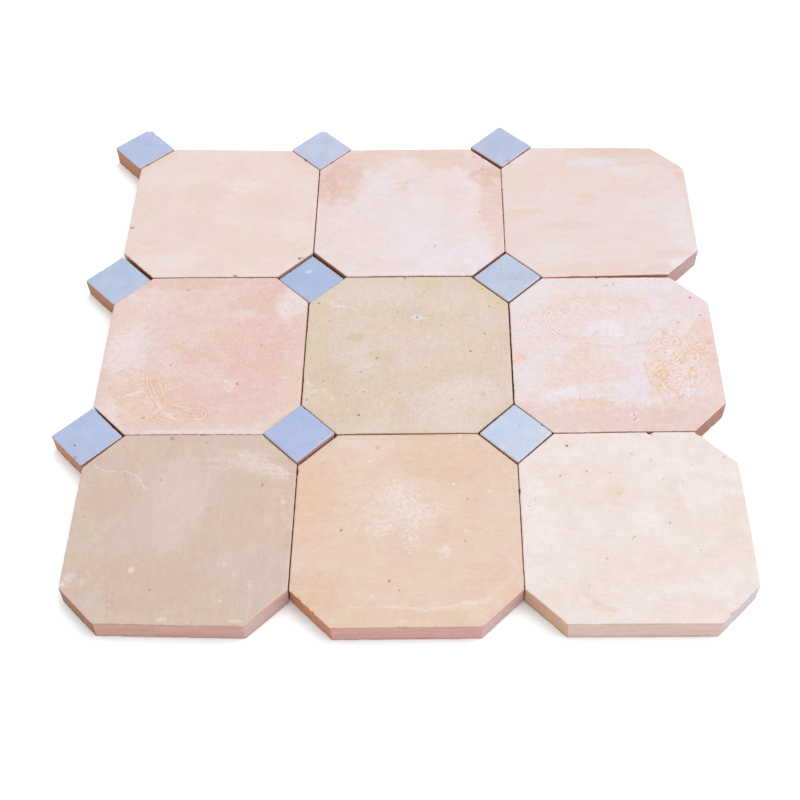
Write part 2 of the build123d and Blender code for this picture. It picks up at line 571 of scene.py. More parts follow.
def mottled(finish, colour, marks):
    """Adds the fine mottling, the strokes of the rubbing stone and the grain. Also gives their patterns."""
    warm, cool = (tone(*marks[key]) for key in ("warm", "cool"))
    mottle = finish.noise(4.5, detail=5.0, roughness=0.65)
    colour = finish.over(colour, mottle, 0.47, 0.70, 0.45, warm)
    colour = finish.over(colour, mottle, 0.53, 0.30, 0.45, cool)
    rubbed = finish.vector("MULTIPLY", finish.world_place, marks.get("rubbed", RUBBED_SIDEWAYS))
    rubbing = finish.noise(1.7, detail=3.0, roughness=0.6, place=rubbed)
    colour = finish.over(colour, rubbing, 0.50, 0.75, 0.6, finish.lifted(colour, 0.035, 0.032, 0.034))
    colour = finish.over(colour, rubbing, 0.48, 0.28, 0.5, finish.dimmed(colour, 0.96, 0.94, 0.93))
    grain = finish.noise(0.7, detail=3.0, roughness=0.75)
    coarse = marks["grain"]
    dark = finish.dimmed(colour, 1 - 0.10 * coarse, 1 - 0.13 * coarse, 1 - 0.14 * coarse)
    colour = finish.over(colour, grain, 0.48, 0.70, 1.0, dark)
    pale = finish.lifted(colour, 0.030 * coarse, 0.030 * coarse, 0.030 * coarse)
    return finish.over(colour, grain, 0.50, 0.30, 1.0, pale), mottle, grain


print("clay is toned for a light of", FACE_LIGHT)

# %% [markdown]
# ## Fired clay
# One function turns a tile's list of marks into its finish: the bare face first, then patches, the maze,
# bands, veins, the mottling, chalk and pits, and last the sides. The nodes could be wired by hand for each
# tile, but the nine tiles are made in one way, and only their marks differ.

# %% Fired clay
FRAY = 0.22
CLAY_RELIEF = 0.00016


def wobbled(finish, place, size, reach):
    """Moves a place about by noise with lumps of this size, by up to about half the reach."""
    aside = finish.vector("SUBTRACT", finish.noise(size, detail=2.0, output="Color"), (0.5, 0.5, 0.5))
    return finish.vector("ADD", place, finish.vector("MULTIPLY", aside, (reach, reach, 0.0)))


def clay(name, middle, marks, top):
    """The finish of one octagon, from its marks and the height of its face in millimetres."""
    finish = Finish(name, middle)
    fraying = finish.noise(5.0, detail=4.0, roughness=0.6)
    fray = finish.ramp(fraying, 0.25, 0.75, -FRAY, FRAY)
    drawn = wobbled(finish, wobbled(finish, finish.place, 9.0, 4.5), 3.0, 1.1)

    colour = patches(finish, bare_face(finish, marks), fray, marks["patches"])
    colour = rings(finish, colour, drawn, marks.get("rings", []))
    colour = bands(finish, colour, drawn, marks.get("bands", []))
    colour = strokes(finish, colour, drawn, fray, marks.get("strokes", []))
    colour, mottle, grain = mottled(finish, colour, marks)
    colour = scuffs(finish, colour, marks.get("scuffs", []))
    colour, depth = pits(finish, colour, fray, marks["pits"])

    sides, normal, layers = side_colour_with_painted_light(finish, marks["sides"], top)
    upright = finish.upwards(normal)
    # Partly rubbed wear and partly painted highlight: the rim of the face is made paler where it starts to
    # turn down.
    colour = finish.over(colour, upright, 0.985, 0.92, 0.30, finish.lifted(colour, 0.10, 0.09, 0.08))
    face = finish.ramp(upright + (grain - 0.5) * 0.25, 0.56, 0.80)
    finish.feed("Base Color", finish.mix(face, sides, colour))
    finish.feed("Roughness", finish.ramp(mottle, 0.3, 0.7, 0.50, 0.66))
    relief = grain * 0.35 + mottle * 0.5 + layers * 0.4 - depth * 1.6
    finish.bumps(relief, strength=0.5, depth=CLAY_RELIEF)
    return finish.material


print("an edge frays by a share of", FRAY)

# %% [markdown]
# ## Peach tile, and how to read a tile's marks
# What follows is a maker's note on each octagon: its tones and the marks on its face, in millimetres from
# its middle, x to the right and y to the back. The first is a plain peach tile with a chipped edge. Marks
# could be scattered at random, but then no tile would look like the real one.

# %% Back left octagon
def count_marks(name, marks):
    """Says how many patches and pits a tile has."""
    print(name, "octagon: patches", len(marks["patches"]), "pits", len(marks["pits"]))


PEACH_SIDES = {"front": (200, 142, 118), "left": (174, 116, 84), "right": (194, 152, 142)}
back_left = {
    "grain": 0.55,
    "body": (238, 217, 210),
    "warm": (237, 213, 204),
    "cool": (240, 222, 217),
    "sides": PEACH_SIDES,
    "patches": [
        (8, 20, 11, 6, 0, (241, 228, 220), 0.7),
        (-22, 26, 8, 5, 0, (240, 226, 220), 0.6),
        (-12, 14, 15, 7, 0, (236, 208, 193), 0.6),
        (20, 5, 17, 9, 0, (237, 211, 200), 0.5),
        (20, -28, 26, 11, 5, (237, 213, 198), 0.7),
        (-20, -37, 12, 7, 0, (240, 227, 225), 0.6),
        (39, -16, 9, 9, 0, (240, 226, 221), 0.6),
        (3, -6, 9, 5, 0, (239, 222, 223), 0.6),
        (40, 38, 17, 6, -45, (236, 209, 194), 0.7),
        (-40, 40, 16, 5, 45, (236, 210, 196), 0.6),
        (-45, 0, 6, 18, 0, (236, 209, 196), 0.5),
        (-40, -27, 14, 8, 0, (237, 212, 198), 0.6),
        (-15, -10, 20, 5, 60, (237, 209, 202), 0.4),
    ],
    "pits": [
        (42.6, -35.6, 1.0, (150, 108, 120)),
        (44.2, -35.2, 0.6, (175, 135, 140)),
        (-48.7, -12.2, 1.0, (160, 105, 85)),
        (-47.3, -12.4, 0.6, (190, 140, 120)),
        (9.9, -48.4, 1.2, (190, 138, 118)),
        (-14.0, -1.2, 0.8, (236, 196, 188)),
    ],
    "nicks": [(-49.4, -12.2, 2.2), (9.9, -48.8, 2.6), (36, -48.7, 1.4)],
}
count_marks("back left", back_left)

# %% [markdown]
# ## Rose tile with a scorched rim
# The fire reached this tile's back and right rim, which came out salmon, and the slip gathered to a cool
# white in its middle. The rim could be one ring, but a scorch has gaps, so it is a row of separate patches.

# %% Back centre octagon
back_centre = {
    "grain": 0.5,
    "body": (239, 222, 222),
    "warm": (237, 213, 205),
    "cool": (240, 227, 232),
    "sides": PEACH_SIDES,
    "patches": [
        (8, -28, 42, 22, 0, (240, 227, 233), 0.7),
        (-20, -24, 20, 14, 0, (239, 221, 214), 0.6),
        (-41, 26, 16, 22, 10, (230, 195, 183), 0.9),
        (-45, 16, 7, 13, 0, (226, 178, 160), 0.7),
        (-36, 32, 10, 8, 20, (228, 184, 174), 0.7),
        (-28, 41, 14, 7, 0, (231, 199, 189), 0.8),
        (-17, 37, 10, 9, 0, (236, 207, 193), 0.8),
        (2, 46, 44, 6, 0, (235, 206, 193), 0.9),
        (15, 39, 15, 8, 0, (235, 203, 186), 0.8),
        (-4, 33, 12, 8, 0, (239, 223, 226), 0.7),
        (33, 37, 14, 8, -35, (234, 204, 194), 0.8),
        (46, 12, 9, 34, 0, (233, 200, 188), 0.9),
        (42, 26, 9, 8, 0, (228, 183, 166), 0.7),
        (46, -22, 5, 22, 0, (234, 207, 200), 0.7),
        (-47, -8, 4, 24, 0, (236, 214, 210), 0.6),
        (22, 11, 11, 7, 0, (238, 214, 204), 0.6),
        (-6, 16, 4.5, 2.6, 0, (236, 203, 186), 0.7),
        (-5, 20.3, 4.5, 1.1, 8, (205, 194, 196), 0.7),
        (22, -22, 8, 11, 10, (238, 216, 208), 0.5),
        (-10, -41, 15, 4, 0, (237, 214, 206), 0.5),
        (29, -35, 16, 9, 0, (239, 228, 238), 0.7),
    ],
    "strokes": [
        (0.9, (237, 208, 190), 0.6, [(-43.5, -36), (-43.5, -26), (-41, -19), (-36, -13)]),
        (0.6, (240, 220, 216), 0.8, [(-33.8, 38), (-31.8, 34)]),
    ],
    "pits": [
        (39, 31.4, 1.2, (214, 180, 178)),
        (36.8, -2.6, 1.0, (218, 196, 190)),
        (-28.2, -1.0, 1.2, (226, 210, 222)),
        (13, -27.5, 0.8, (220, 196, 194)),
        (29, -28.5, 1.2, (232, 212, 218)),
        (34.5, 41.5, 1.2, (236, 196, 172)),
    ],
}
count_marks("back centre", back_centre)

# %% [markdown]
# ## Peach tile with long wipes
# A wet hand wiped this face from side to side. Noise that is stretched along x draws the wipes, and patches
# add the paler and warmer parts of them that can be told apart.

# %% Back right octagon
back_right = {
    "grain": 0.4,
    "body": (236, 217, 213),
    "warm": (236, 213, 206),
    "cool": (236, 220, 219),
    "streaks": ((0.16, 1.0, 1.0), (235, 211, 203)),
    "sides": {"front": (212, 140, 112), "left": (174, 116, 84), "right": (187, 151, 150)},
    "patches": [
        (20, 46, 34, 6, 0, (231, 200, 185), 1.0),
        (0, 43, 10, 4, -20, (233, 206, 194), 0.6),
        (21, 38, 13, 6, 0, (232, 207, 202), 0.8),
        (41, 38, 8, 9, 0, (232, 208, 202), 0.7),
        (-41, 40, 8, 8, 0, (237, 226, 229), 0.7),
        (47.5, 28, 4, 8, 0, (233, 201, 184), 0.8),
        (-20, 34, 18, 12, 0, (236, 212, 201), 0.8),
        (-38, 20, 12, 16, 0, (236, 214, 202), 0.7),
        (0, 36, 13, 4, 0, (236, 224, 233), 0.9),
        (14, 29.5, 9, 3, -10, (237, 225, 232), 0.7),
        (-5, 8, 5, 5, 0, (237, 206, 188), 0.6),
        (18, 16, 16, 8, 0, (235, 209, 200), 0.6),
        (-40, -4, 11, 4, 8, (236, 208, 191), 0.7),
        (-14, -13, 12, 4, 0, (234, 208, 196), 0.6),
        (45, -12, 8, 24, 0, (237, 225, 229), 0.8),
        (28, 3, 14, 6, -20, (236, 221, 222), 0.6),
        (-28, -34, 16, 8, 0, (237, 223, 222), 0.6),
        (-6, -45, 30, 4, 2, (235, 207, 194), 0.7),
        (28, -45, 12, 3, 6, (234, 203, 190), 0.6),
        (35, -34, 12, 3, 6, (235, 208, 197), 0.6),
        (38, -41, 4, 4, 45, (241, 233, 240), 0.8),
        (48.5, 8, 2, 24, 0, (235, 212, 206), 0.6),
    ],
    "pits": [
        (25, 8, 1.2, (226, 203, 198)),
        (-23.8, 14.3, 1.4, (229, 210, 205)),
        (-6.3, 3, 1.0, (240, 228, 230)),
        (-29, -8.7, 0.6, (228, 208, 204)),
    ],
}
count_marks("back right", back_right)

# %% [markdown]
# ## Salmon tile with agate lines
# Slip pooled at the front left corner and dried in rings. Veins draw its rim, bands the lines that run
# beside the rim, and a maze the part between them. An image could hold all this, but it would blur close
# up.

# %% Middle left octagon
middle_left = {
    "grain": 1.5,
    "body": (234, 205, 198),
    "warm": (232, 195, 183),
    "cool": (237, 215, 212),
    "sides": PEACH_SIDES,
    "patches": [
        (-39, 2, 11, 22, 0, (238, 222, 222), 1.0),
        (-44, 23, 9, 13, 0, (235, 204, 190), 0.7),
        (25, 0, 17, 36, 0, (232, 193, 184), 0.85),
        (-4, -2, 9, 6, 0, (230, 190, 178), 0.6),
        (20, -34, 24, 12, 0, (232, 196, 188), 0.7),
        (-18, 46, 20, 5, 0, (230, 194, 182), 0.8),
        (12, 47.5, 30, 3.5, 0, (231, 196, 184), 0.7),
        (28, 38, 5, 14, 0, (231, 194, 184), 0.7),
        (42, 34, 8, 12, -20, (237, 218, 214), 0.8),
        (17, 25, 6, 4, 0, (236, 214, 210), 0.7),
        (-28, 34, 14, 9, 10, (236, 214, 207), 0.7),
        (-40.5, 37.5, 2.5, 2.5, 0, (239, 226, 222), 0.8),
        (-30, 42, 3, 3, 0, (237, 219, 215), 0.7),
        (45, -24, 7, 15, 0, (236, 208, 196), 0.7),
        (42, -40, 14, 3, 45, (238, 212, 193), 0.8),
        (-42, -41, 14, 3.5, -45, (238, 222, 222), 0.8),
        (2, -48.8, 34, 1.8, 0, (238, 222, 222), 0.9),
        (-31, -26, 17, 17, 0, (236, 209, 196), 0.8),
        (-6, -43, 11, 4, -8, (236, 204, 186), 0.6),
        (-24, -37, 8, 5, -30, (235, 203, 188), 0.6),
        (-14, 3, 4, 3.4, 0, (235, 199, 176), 0.6),
        (11, 10, 13, 3.4, -15, (235, 200, 181), 0.6),
        (-9, 21, 9, 2.4, -30, (235, 200, 182), 0.6),
        (11, -4, 4, 3, 0, (235, 201, 180), 0.5),
        (-10, 35, 8, 3, -10, (234, 202, 190), 0.5),
        (14, -21, 3.2, 4.2, 0, (238, 220, 210), 0.6),
        (-43, -37, 7, 5, 0, (237, 219, 219), 0.8),
    ],
    "rings": [
        (-36, -26, 9, 14, 0, 13.0, 8.0, (230, 186, 160), 0.7),
        (-24, -36, 8, 6, -35, 10.0, 8.0, (229, 180, 148), 0.9),
    ],
    "bands": [
        (9.5, 1.8, (228, 176, 142), 0.9, [(-34, -26.4), (-28, -24)]),
        (6.4, 1.9, (227, 172, 130), 0.95, [(-24, -15), (-20.5, -25), (-18, -31), (-12, -35.6), (2, -38.4)]),
        (3.8, 1.8, (230, 180, 144), 0.9, [(-22, -40), (-15, -43), (-10, -41)]),
    ],
    "strokes": [
        (
            2.0,
            (234, 192, 158),
            0.6,
            [(-22, -18), (-19, -27), (-16, -32), (-9, -36), (-3, -38)],
        ),
        (0.7, (234, 194, 160), 0.95, [(-41, -13), (-38, -9.5), (-31, -10), (-25, -14), (-21, -21)]),
        (1.4, (239, 226, 230), 1.0, [(-33, -26.6), (-29, -24.4)]),
        (0.8, (240, 226, 226), 0.9, [(-20, -31), (-17.5, -36), (-13, -39.5), (-7, -41.5)]),
    ],
    "scuffs": [
        (42, 33, 6, 10, -25, (240, 227, 225), 0.95),
        (37, 25, 2.4, 8, 12, (240, 227, 225), 0.9),
        (-30, 34, 10, 5, 10, (239, 222, 217), 0.7),
        (-39, 10, 7, 10, 0, (240, 226, 228), 0.7),
        (17, 25, 5, 3, 0, (238, 219, 214), 0.7),
    ],
    "pits": [
        (17.5, -19.7, 0.7, (178, 124, 108)),
        (-25.6, -40.0, 0.7, (196, 150, 140)),
        (-13.0, 42.0, 0.7, (208, 166, 158)),
        (27.4, 4.7, 0.8, (214, 160, 160)),
        (-16.0, -7.9, 1.0, (226, 180, 170)),
        (-20.8, -8.0, 0.7, (228, 184, 174)),
        (15.0, 18.0, 0.6, (220, 176, 168)),
        (35.0, -20.2, 0.6, (222, 180, 172)),
        (25.0, 18.0, 0.6, (222, 178, 172)),
        (-11.2, 6.2, 0.5, (212, 168, 158)),
        (12.0, -18.0, 1.1, (239, 224, 216)),
        (14.2, -24.4, 0.9, (239, 224, 216)),
    ],
}
count_marks("middle left", middle_left)

# %% [markdown]
# ## Olive tile
# The coolest spot in the kiln left this one olive. It is rubbed from front to back and has the most pits,
# each of which is listed where it lies. Scattering them at random would be shorter, but no pit would lie
# right.

# %% Centre octagon
centre = {
    "grain": 1.5,
    "rubbed": RUBBED_BACKWARDS,
    "body": (225, 206, 190),
    "warm": (222, 201, 180),
    "cool": (228, 211, 199),
    "sides": {"front": (192, 150, 122), "left": (176, 124, 92), "right": (190, 156, 140)},
    "patches": [
        (-45, 6, 7, 32, 0, (223, 202, 173), 0.8),
        (42, 40, 16, 6, -45, (223, 204, 168), 0.9),
        (8, 46, 8, 4, 0, (221, 201, 168), 0.7),
        (-15, 38, 22, 9, 0, (228, 213, 203), 0.8),
        (18, 33, 14, 9, 0, (228, 212, 199), 0.6),
        (26, -28, 26, 11, 10, (229, 213, 202), 0.9),
        (18, -43, 16, 6, 0, (228, 214, 202), 0.7),
        (-9, -19, 7, 25, 15, (219, 197, 172), 0.8),
        (-30, -34, 16, 11, 0, (221, 198, 170), 0.8),
        (-34, -22, 9, 3, 0, (226, 201, 179), 0.6),
        (-26, 9, 5, 3.6, 0, (218, 194, 164), 0.7),
        (-9, -4, 3, 1.5, 0, (226, 193, 174), 0.7),
        (43, -8, 5, 11, 0, (226, 202, 182), 0.6),
        (-19, -12, 8, 7, 0, (227, 213, 204), 0.6),
        (2, 1, 12, 16, 0, (226, 207, 194), 0.5),
        (4, 22.6, 2.2, 1.8, 0, (233, 224, 216), 0.8),
        (9.8, 9.6, 1.0, 1.0, 0, (234, 228, 226), 0.8),
        (-38, -17, 13, 12, 0, (218, 196, 172), 0.8),
        (-10, -19, 20, 9, 0, (220, 200, 182), 0.7),
        (12, 5.6, 3, 2.6, 0, (230, 216, 208), 0.6),
        (30, 21.5, 2.4, 1.8, 0, (229, 214, 204), 0.6),
    ],
    "scuffs": [
        (-33.5, 29.8, 4.6, 1.4, -14, (236, 229, 222), 1.0),
        (-38.5, 33, 2.2, 1.6, 0, (233, 225, 216), 0.9),
        (-47.6, -19.6, 2.6, 2.4, -20, (237, 233, 230), 1.0),
        (-44, -24.2, 6, 1.2, 0, (233, 222, 210), 0.9),
        (-38, -27.2, 4, 2.0, -30, (234, 224, 214), 0.9),
        (-19, -8.4, 4, 1.0, 8, (233, 223, 214), 0.8),
        (5, 22.4, 3.4, 1.8, 10, (236, 230, 226), 0.8),
        (-8, -24, 12, 9, 60, (228, 214, 202), 0.4),
        (26, -24, 14, 7, 20, (231, 218, 208), 0.6),
    ],
    "pits": [
        (3.8, 22.5, 1.0, (160, 158, 168)),
        (30.0, 0.3, 0.85, (168, 154, 136)),
        (-15.7, -4.0, 0.85, (172, 158, 144)),
        (-23.2, -38.8, 0.6, (92, 74, 64)),
        (15.8, 17.3, 0.6, (178, 158, 138)),
        (37.3, 11.8, 0.65, (182, 164, 142)),
        (-5.8, 26.2, 0.65, (180, 160, 142)),
        (-45.7, 32.5, 0.7, (168, 142, 126)),
        (8.2, -10.0, 0.5, (176, 156, 136)),
        (-40.8, -18.0, 0.6, (184, 160, 134)),
        (44.5, 32.2, 0.6, (180, 158, 124)),
        (-23.2, -13.0, 0.55, (180, 160, 140)),
        (-21.5, -24.8, 0.5, (186, 164, 142)),
        (35.4, -27.0, 0.9, (204, 182, 164)),
        (-4.2, -25.6, 0.45, (176, 156, 136)),
        (-2.6, 49.6, 0.8, (196, 172, 152)),
        (36.8, 41.8, 0.6, (192, 168, 134)),
        (-39.7, 20.3, 0.55, (182, 156, 112)),
        (20.6, -30.0, 0.6, (196, 174, 156)),
        (42.7, -20.9, 0.45, (186, 164, 142)),
        (40.0, 30.0, 0.5, (184, 160, 126)),
        (-48.5, -29.5, 0.7, (190, 164, 142)),
    ],
    "nicks": [(-2.6, 50.4, 1.4)],
}
count_marks("centre", centre)

# %% [markdown]
# ## Rose tile with a maze of lines
# The slip on the right half wrinkled into a maze of thin orange lines, and a flat loop runs across the
# back. Rings, bands and veins draw them over the patches, in the order in which they dried.

# %% Middle right octagon
middle_right = {
    "grain": 1.4,
    "body": (238, 223, 225),
    "warm": (238, 217, 211),
    "cool": (240, 227, 232),
    "sides": {"front": (204, 150, 128), "left": (174, 116, 84), "right": (167, 112, 96)},
    "patches": [
        (0, -42, 52, 9, 0, (233, 204, 198), 0.95),
        (-42, -37, 12, 6, 20, (232, 202, 197), 0.7),
        (36, -37, 15, 11, 0, (234, 205, 199), 0.8),
        (28, -47, 22, 4, 0, (231, 196, 190), 0.7),
        (33, -6, 18, 22, 0, (238, 214, 204), 0.8),
        (47, -8, 4, 36, 0, (237, 205, 196), 0.8),
        (45, 15, 5, 8, 0, (238, 203, 188), 0.8),
        (38, 31, 13, 12, 0, (237, 217, 218), 0.7),
        (-8, 34, 26, 6, 2, (238, 216, 206), 0.8),
        (12, 30, 12, 8, -20, (238, 217, 209), 0.6),
        (-34, 17, 9, 10, 0, (239, 221, 217), 0.4),
        (-24, 17, 8, 10, 0, (238, 219, 212), 0.4),
        (-6, 24, 16, 5, 0, (239, 219, 213), 0.5),
        (-3, 14, 12, 6, 0, (242, 231, 237), 0.9),
        (-38, 38, 15, 8, 45, (240, 228, 234), 0.7),
        (6, -18, 12, 13, 0, (239, 224, 232), 0.8),
        (-18, -4, 6, 7, -30, (237, 210, 195), 0.7),
        (-28, -16, 8, 9, 0, (238, 213, 201), 0.6),
        (-7, -14, 14, 8, 0, (238, 212, 201), 0.7),
        (-45.6, -5, 4.2, 4.4, 0, (239, 204, 180), 1.0),
        (-41, -27.4, 3.2, 1.4, 0, (238, 205, 185), 0.7),
        (-5, -25, 5, 2, 0, (238, 210, 196), 0.6),
        (-26, -27, 14, 4.5, 0, (241, 230, 237), 0.95),
        (15, -30, 6, 5, 0, (239, 227, 235), 0.9),
        (-14, -32, 14, 3.4, -2, (237, 203, 184), 0.9),
        (-8, -38, 22, 5, -6, (236, 204, 190), 0.7),
        (19, -17, 4, 14, -14, (237, 202, 180), 0.6),
        (32, -25.6, 4.2, 2.4, 0, (240, 226, 236), 1.0),
        (34, -19.6, 3.0, 2.0, 0, (240, 226, 234), 0.9),
        (32, 22.4, 2.6, 2.2, 0, (241, 229, 236), 0.8),
        (31, 13, 3, 3, 0, (240, 226, 230), 0.8),
        (25, -1, 4, 2.2, 0, (241, 227, 228), 0.7),
        (43, -20, 6, 6, 0, (239, 216, 212), 0.6),
        (-42, -14, 8, 10, 0, (241, 227, 232), 0.7),
        (20, -40, 13, 6, 0, (229, 199, 187), 0.9),
        (-1, -40, 12, 5, 0, (232, 203, 194), 0.7),
    ],
    "rings": [
        (-8, 30, 26, 7, 2, 14.0, 9.0, (235, 196, 172), 0.6),
        (31, -4, 17, 20, 0, 12.0, 11.0, (233, 178, 142), 0.9),
        (28, -20, 10, 12, 20, 9.0, 10.0, (234, 180, 144), 0.9),
        (44, 6, 6, 14, 0, 10.0, 10.0, (233, 174, 142), 0.8),
        (-16, -8, 6, 7, -20, 9.0, 8.0, (235, 196, 172), 0.6),
    ],
    "bands": [
        (5.8, 1.8, (234, 188, 158), 0.9, [(-24, 27), (-29, 24), (-31.6, 18.5), (-30, 12), (-26, 8.5)]),
        (2.4, 1.9, (234, 186, 154), 1.0, [(-35, 26), (-41, 24), (-43.6, 18.5), (-40, 13), (-34, 9.6)]),
        (3.4, 1.8, (234, 178, 138), 0.95, [(20, -14), (25, -9), (29, -7), (34, -1), (41, 0)]),
    ],
    "strokes": [
        (1.2, (238, 208, 190), 0.7, [(-28, 27), (-23, 32), (-14, 35), (4, 35.5), (17, 32), (20, 26)]),
        (1.0, (237, 204, 184), 0.6, [(-26, 8.5), (-16, 8), (-6, 9)]),
        (0.8, (238, 204, 184), 0.75, [(-22, 5), (-13, 5.4), (-5, 3), (4, 2), (18, 6)]),
        (1.2, (238, 200, 174), 0.8, [(13.5, -8), (15, -18), (19, -24), (21, -33)]),
        (0.7, (238, 206, 186), 0.7, [(-13, 3), (-14, -8), (-18, -9)]),
        (0.8, (237, 192, 162), 0.8, [(21, -16), (24, -23), (28.5, -26)]),
        (0.8, (237, 194, 164), 0.8, [(31.5, -6), (35, -1), (40, 0), (46, -1)]),
    ],
    "pits": [
        (-0.4, 43.6, 0.9, (222, 192, 198)),
        (3.3, 44.6, 0.65, (206, 166, 172)),
        (41.0, 35.2, 0.75, (190, 132, 134)),
        (44.4, 23.0, 0.65, (206, 168, 168)),
        (-8.0, 11.4, 2.0, (234, 212, 220)),
        (33.0, 18.3, 1.0, (218, 188, 174)),
        (5.0, -39.4, 1.0, (242, 226, 220)),
        (7.4, -42.0, 1.0, (242, 226, 220)),
        (7.2, -38.4, 0.7, (242, 226, 220)),
        (5.7, -39.6, 0.4, (170, 124, 112)),
        (6.5, -41.2, 0.45, (150, 104, 92)),
        (5.5, -42.4, 0.35, (180, 134, 120)),
        (-18.7, -29.2, 0.4, (196, 156, 156)),
        (24.6, -27.8, 0.9, (244, 232, 226)),
        (26.8, -29.6, 0.7, (244, 232, 226)),
        (25.4, -30.8, 0.6, (244, 232, 226)),
    ],
}
count_marks("middle right", middle_right)

# %% [markdown]
# ## Fawn tile
# The brownest tile, rubbed from front to back, with a hair-thin crack of chalk at the back left and streaks
# of chalk at the back right. Thin veins draw the crack and the streaks, and scuffs the dust beside them.

# %% Front left octagon
front_left = {
    "grain": 0.8,
    "rubbed": RUBBED_BACKWARDS,
    "streaks": ((0.9, 0.10, 1.0), (218, 197, 184)),
    "body": (214, 190, 175),
    "warm": (213, 185, 168),
    "cool": (218, 196, 185),
    "sides": {"front": (197, 150, 137), "left": (150, 86, 42), "right": (204, 166, 159)},
    "patches": [
        (-30, 40, 16, 8, 0, (216, 191, 178), 0.6),
        (-3, 14, 12, 28, 0, (221, 201, 191), 0.7),
        (24, 42, 20, 7, 0, (217, 197, 184), 0.6),
        (24, 20, 18, 12, 0, (216, 195, 180), 0.5),
        (30, -1, 12, 14, 0, (219, 190, 175), 0.7),
        (43, 8, 6, 26, 0, (220, 192, 176), 0.8),
        (-35, 12, 10, 9, 0, (216, 186, 168), 0.6),
        (-22, -3, 13, 12, 0, (216, 194, 183), 0.6),
        (-15, -31, 28, 14, 0, (212, 185, 170), 0.8),
        (40, -28, 9, 20, 0, (214, 194, 182), 0.7),
        (13, -26, 5, 26, 0, (214, 190, 177), 0.6),
        (32, 32, 15, 4.5, -22, (224, 203, 192), 0.9),
        (40, 42, 10, 3, -45, (222, 206, 190), 0.7),
        (14, 35.2, 20, 1.8, 0, (221, 202, 188), 0.6),
        (21, 43, 1.6, 6, 0, (218, 188, 162), 0.7),
        (-19, -23.2, 1.5, 1.5, 0, (238, 215, 192), 1.0),
        (-48.2, -30.4, 1.3, 1.3, 0, (234, 226, 224), 0.9),
        (-44.6, -26, 2.2, 1.6, 0, (225, 213, 208), 0.7),
        (-39, -29, 2, 2, 0, (224, 213, 206), 0.6),
        (-3, -47.2, 2, 1.2, 0, (232, 220, 212), 0.9),
        (44.7, 12, 1.3, 1.3, 0, (229, 218, 212), 0.9),
        (21.2, -20.6, 0.9, 0.9, 0, (229, 214, 204), 0.8),
        (20.8, -38.4, 0.7, 0.7, 0, (231, 216, 206), 0.8),
        (-36, -8, 3, 2.4, 0, (221, 204, 192), 0.6),
        (-32, -37, 4.4, 7, 0, (216, 199, 191), 0.6),
        (29, -48, 4, 0.9, 0, (231, 219, 212), 0.7),
        (38, 0, 10, 2, 75, (222, 200, 184), 0.4),
    ],
    "scuffs": [
        (30, 33, 15, 5, -20, (232, 214, 203), 0.75),
        (42, 28.4, 6, 2.6, -28, (237, 226, 219), 1.0),
        (18, 31.4, 8, 1.6, 4, (229, 211, 199), 0.7),
        (30, 38.4, 8, 1.8, -14, (230, 213, 202), 0.7),
        (-46, -28, 3.2, 3.2, 0, (233, 224, 221), 0.5),
        (0, 4, 11, 22, 0, (224, 207, 199), 0.25),
    ],
    "strokes": [
        (
            0.5,
            (236, 223, 215),
            0.85,
            [(-43.5, 32.8), (-41, 30), (-38, 28.8), (-28, 28.4), (-24.5, 26), (-21, 22.5), (-16.5, 19)],
        ),
        (0.8, (206, 170, 142), 0.6, [(-28.6, 27), (-27, 22.5), (-24, 16.5), (-21.5, 11.5)]),
        (0.7, (206, 166, 148), 0.6, [(-29.5, -37.6), (-26, -35), (-21.5, -33.2)]),
        (0.6, (228, 214, 205), 0.6, [(33, -29), (33.6, -38), (33, -46)]),
        (0.5, (233, 215, 205), 0.8, [(8, 35), (22, 33.4), (34, 30.6), (43, 26.4)]),
        (0.5, (233, 213, 202), 0.7, [(20, 40.4), (29, 37.6), (36, 33.4), (44, 29)]),
        (0.4, (204, 172, 148), 0.5, [(-17, -21), (-15.6, -18.6), (-14.4, -18.2)]),
        (
            0.5,
            (206, 166, 147),
            0.8,
            [(-27.4, -38.9), (-25.5, -38), (-23.8, -39.2), (-23.8, -41), (-25.6, -42), (-27.2, -40.9)],
        ),
    ],
    "pits": [
        (-12.2, 24.0, 0.6, (166, 148, 140)),
        (34.3, 21.2, 0.75, (164, 144, 130)),
        (-9.7, -33.0, 0.7, (192, 156, 146)),
        (-10.0, 47.6, 1.2, (182, 154, 138)),
        (10.0, 7.8, 1.6, (210, 190, 176)),
        (6.4, 45.2, 0.6, (186, 164, 148)),
        (-31.8, 42.8, 0.6, (196, 172, 152)),
        (-44.0, 4.4, 0.6, (198, 174, 158)),
        (8.8, -48.8, 0.9, (226, 196, 182)),
        (-25.4, -39.9, 0.7, (214, 184, 168)),
    ],
    "nicks": [(8.6, -49.6, 1.8), (-24, -49.8, 1.2), (30, -49.2, 1.2)],
}
count_marks("front left", front_left)

# %% [markdown]
# ## Apricot tile with a chalky middle
# The middle is rubbed with chalk, which only caught on the high grain. Scuffs give that: they are white
# where fine noise is high, and so they break up into flecks where a patch would be one even cloud.

